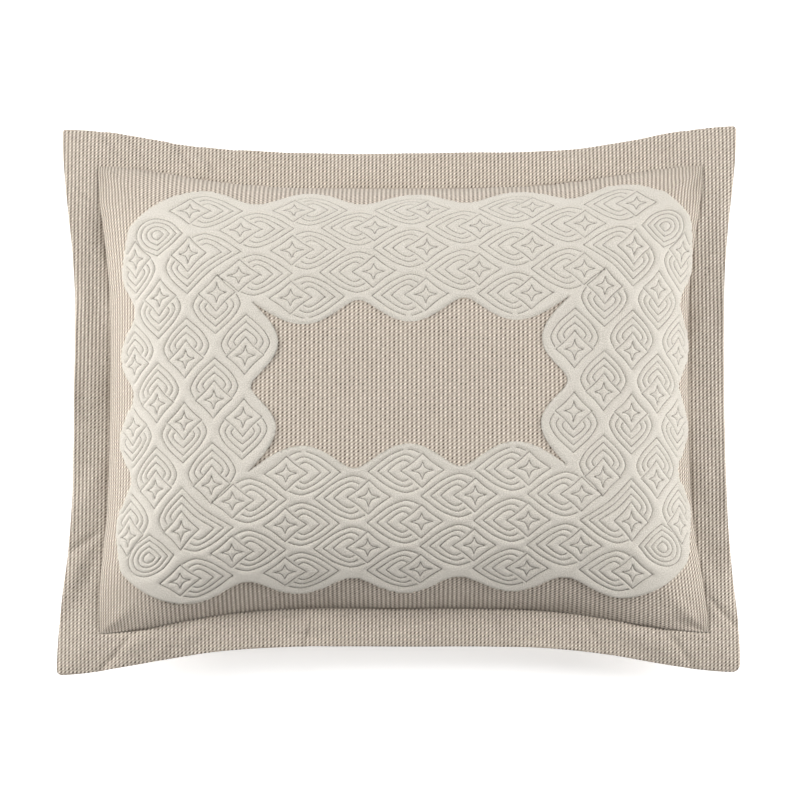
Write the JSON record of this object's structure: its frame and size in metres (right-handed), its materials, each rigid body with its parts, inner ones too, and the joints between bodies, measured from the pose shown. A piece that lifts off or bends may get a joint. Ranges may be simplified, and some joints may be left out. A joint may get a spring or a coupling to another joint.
{
  "type": "pillow sham",
  "caption": "Filled rectangular pillow sham with a flat flange all round, taupe ground and a scalloped ivory quilted frame woven on its crowned face.",
  "frame": {"origin": "on the surface the sham rests on, under the middle of its bounding box", "axes": "+X along the long side, +Y towards the top edge of the face, +Z out of the crowned face"},
  "size_m": [0.7096, 0.5782, 0.1558],
  "materials": {
    "taupe_pique": "matt woven pique with small raised diagonal floats",
    "taupe_flange": "matt woven pique, doubled and pressed flat",
    "ivory_matelasse": "matt puffed double cloth with fine quilting lines"
  },
  "bodies": {
    "root": {"filled_body": "taupe_pique", "flange": "taupe_flange", "matelasse_frame": "ivory_matelasse"}
  },
  "joints": []
}
